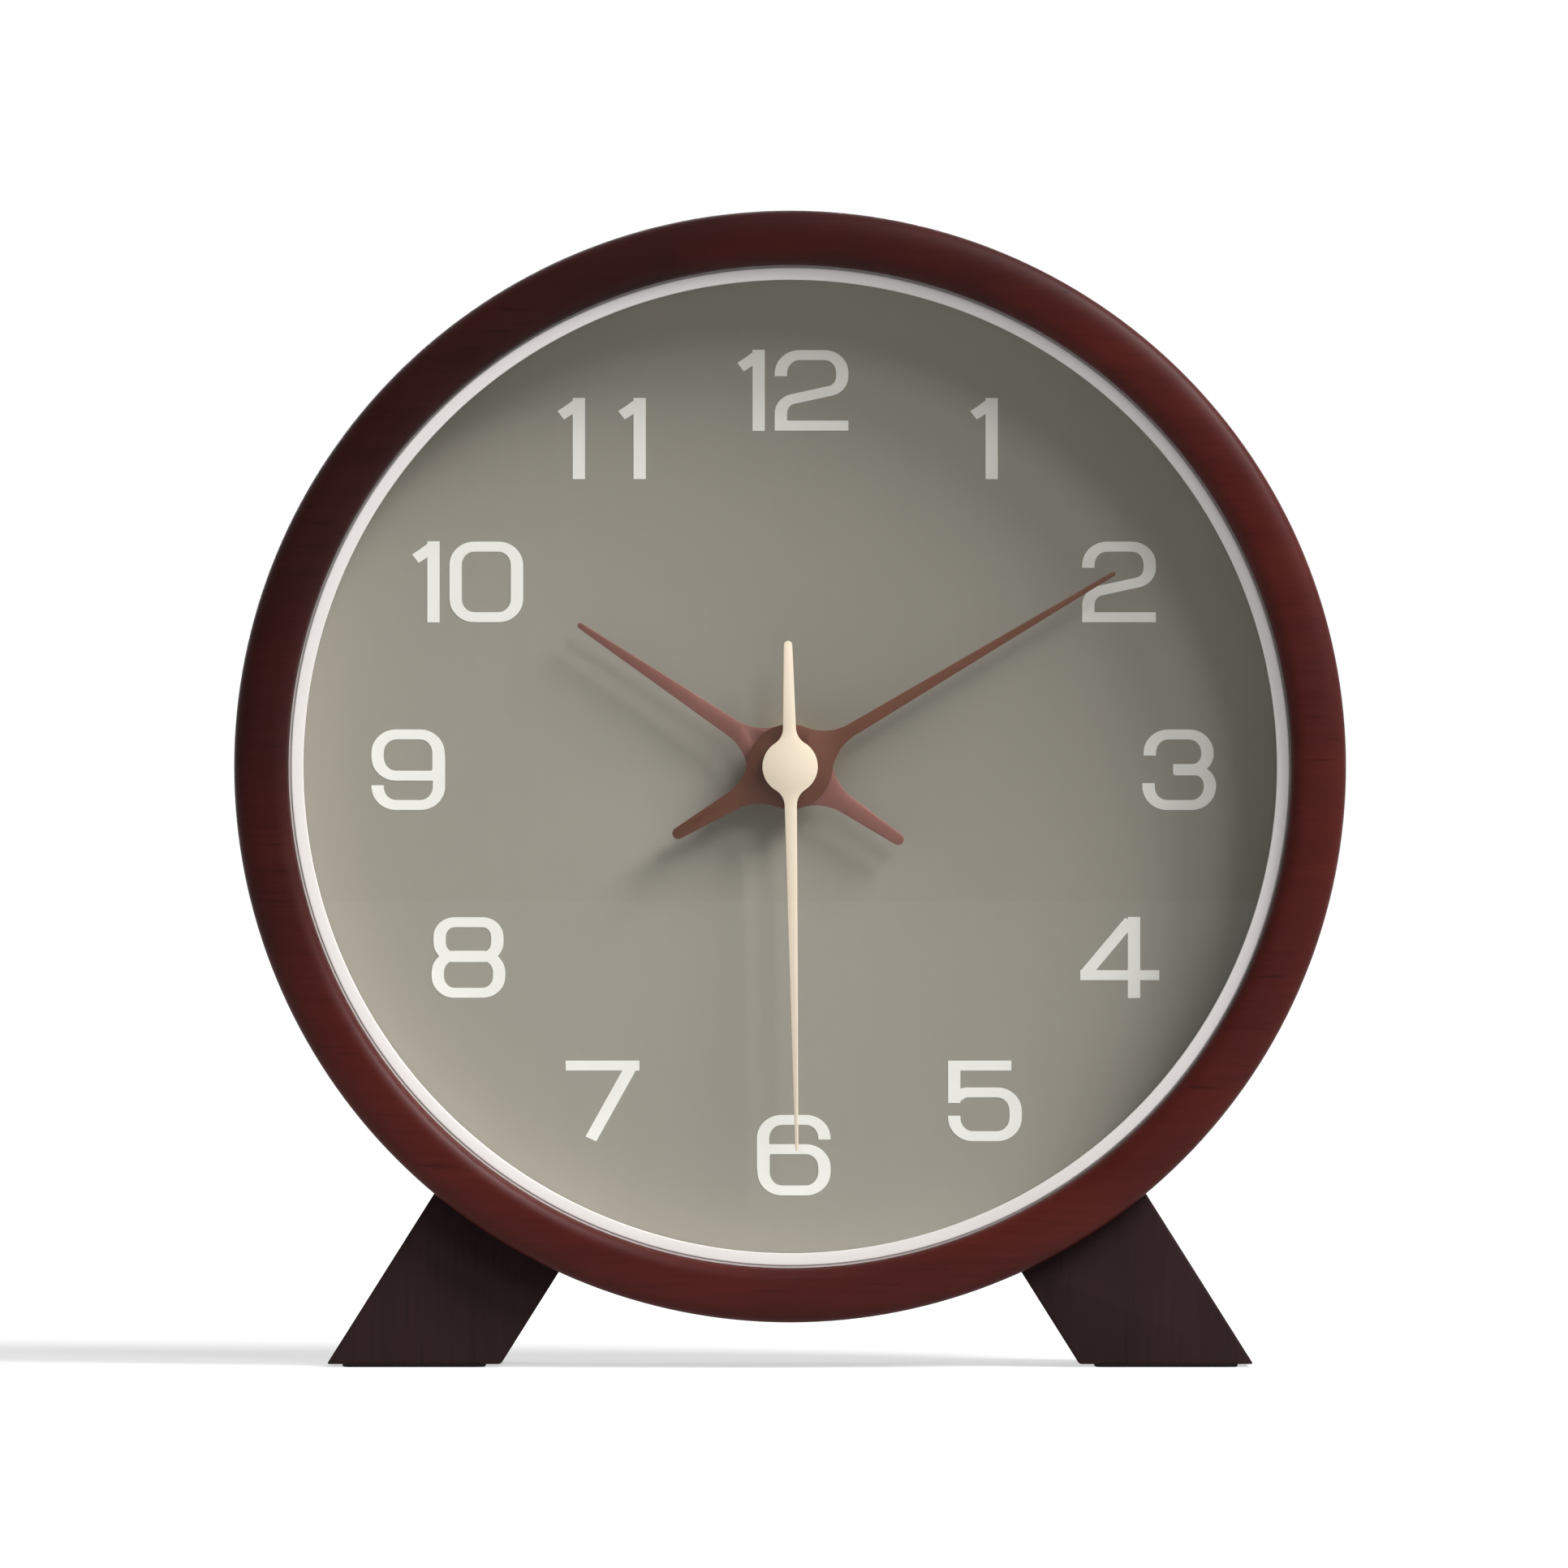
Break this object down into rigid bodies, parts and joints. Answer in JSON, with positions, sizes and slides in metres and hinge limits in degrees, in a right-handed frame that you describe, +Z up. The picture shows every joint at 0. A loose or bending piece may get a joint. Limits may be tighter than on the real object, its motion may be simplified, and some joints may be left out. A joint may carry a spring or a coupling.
{
  "type": "desk clock",
  "caption": "Round desk clock: turned wood rim, white inner ring, glass, taupe numbered dial, three hands and a working quartz gear train, on two splayed feet.",
  "frame": {"origin": "middle of the clock's footprint, on the plane it stands on", "axes": "+Z up; the face looks along -Y; +X is the viewer's right; +Y is towards the back"},
  "size_m": [0.18, 0.042, 0.1874],
  "materials": {
    "red_wood": "turned hardwood, dark red stain, satin lacquer",
    "dark_wood": "near-black stained wood, matt",
    "clear_glass": "clear polished flat glass",
    "white_plastic": "off-white moulded plastic, satin",
    "dial_paint": "matt taupe paint with off-white printed numbers",
    "black_plastic": "black moulded plastic, fine texture",
    "steel": "plated steel",
    "felt": "pressed dark felt",
    "copper_finish": "satin copper-brown lacquer on thin metal",
    "cream_paint": "satin cream paint on thin metal",
    "brass": "turned brass",
    "grey_plastic": "dark grey moulded plastic",
    "rubber": "soft black rubber",
    "acetal": "natural white acetal",
    "magnet": "sintered magnet, dark grey",
    "silicon_steel": "rolled magnetic steel",
    "copper_wire": "enamelled copper wire",
    "board_green": "green solder mask",
    "cell_label": "plain dark wrapper on a steel can"
  },
  "bodies": {
    "case": {"wood_case": "red_wood", "left_foot": "dark_wood", "right_foot": "dark_wood", "front_glass": "clear_glass", "bezel_ring": "white_plastic", "dial_ring": "white_plastic", "dial_plate": "dial_paint", "back_cover": "black_plastic", "movement_front_case": "black_plastic", "movement_rear_case": "black_plastic", "control_chip": "black_plastic", "cover_screw_1": "steel", "cover_screw_2": "steel", "cover_screw_3": "steel", "cover_screw_4": "steel", "left_foot_screw_front": "steel", "left_foot_screw_rear": "steel", "right_foot_screw_front": "steel", "right_foot_screw_rear": "steel", "quartz_crystal": "steel", "positive_contact": "steel", "negative_contact": "steel", "negative_spring": "steel", "left_foot_pad": "felt", "right_foot_pad": "felt", "brass_washer": "brass", "hex_nut": "brass", "train_bridge": "grey_plastic", "coil_bobbin": "grey_plastic", "rubber_washer": "rubber", "stator": "silicon_steel", "coil_core": "silicon_steel", "coil_winding": "copper_wire", "circuit_board": "board_green", "aa_cell": "cell_label"},
    "minute_hand_group": {"minute_hand": "copper_finish", "minute_hand_bush": "brass", "cannon_pinion": "brass"},
    "hour_hand_group": {"hour_hand": "copper_finish", "hour_hand_bush": "brass", "hour_wheel": "acetal"},
    "minute_wheel_group": {"minute_wheel": "acetal"},
    "setting_group": {"setting_arbor": "acetal", "setting_knob": "grey_plastic"},
    "second_hand_group": {"second_hand": "cream_paint", "second_hand_tube": "brass", "seconds_wheel": "acetal"},
    "intermediate_group": {"intermediate_wheel": "acetal"},
    "rotor_group": {"rotor": "magnet"},
    "third_wheel_group": {"third_wheel": "acetal"},
    "centre_wheel_group": {"centre_wheel": "brass"}
  },
  "joints": [
    {"name": "minute_hand_spin", "type": "hinge", "parent": "case", "child": "minute_hand_group", "pos_m": [0, 0, 0.0974], "axis": [0, 1, 0], "continuous": true},
    {"name": "hour_hand_spin", "type": "hinge", "parent": "case", "child": "hour_hand_group", "pos_m": [0, 0, 0.0974], "axis": [0, 1, 0], "continuous": true},
    {"name": "minute_wheel_spin", "type": "hinge", "parent": "case", "child": "minute_wheel_group", "pos_m": [0.00869, 0, 0.09507], "axis": [0, 1, 0], "continuous": true},
    {"name": "setting_knob_spin", "type": "hinge", "parent": "case", "child": "setting_group", "pos_m": [0.01319, 0, 0.10286], "axis": [0, 1, 0], "continuous": true},
    {"name": "second_hand_spin", "type": "hinge", "parent": "case", "child": "second_hand_group", "pos_m": [0, 0, 0.0974], "axis": [0, 1, 0], "continuous": true},
    {"name": "intermediate_wheel_spin", "type": "hinge", "parent": "case", "child": "intermediate_group", "pos_m": [0.00532, 0, 0.10374], "axis": [0, 1, 0], "continuous": true},
    {"name": "rotor_spin", "type": "hinge", "parent": "case", "child": "rotor_group", "pos_m": [0.00769, 0, 0.11026], "axis": [0, 1, 0], "continuous": true},
    {"name": "third_wheel_spin", "type": "hinge", "parent": "case", "child": "third_wheel_group", "pos_m": [-0.00782, 0, 0.0995], "axis": [0, 1, 0], "continuous": true},
    {"name": "centre_wheel_spin", "type": "hinge", "parent": "case", "child": "centre_wheel_group", "pos_m": [0, 0, 0.0974], "axis": [0, 1, 0], "continuous": true}
  ],
  "couplings": [
    {"joint": "hour_hand_spin", "follows": "minute_hand_spin", "ratio": 0.083333},
    {"joint": "minute_wheel_spin", "follows": "minute_hand_spin", "ratio": -0.33333},
    {"joint": "setting_knob_spin", "follows": "minute_hand_spin", "ratio": 1},
    {"joint": "intermediate_wheel_spin", "follows": "second_hand_spin", "ratio": -5},
    {"joint": "rotor_spin", "follows": "second_hand_spin", "ratio": 30},
    {"joint": "third_wheel_spin", "follows": "second_hand_spin", "ratio": -0.125},
    {"joint": "centre_wheel_spin", "follows": "second_hand_spin", "ratio": 0.016667}
  ]
}
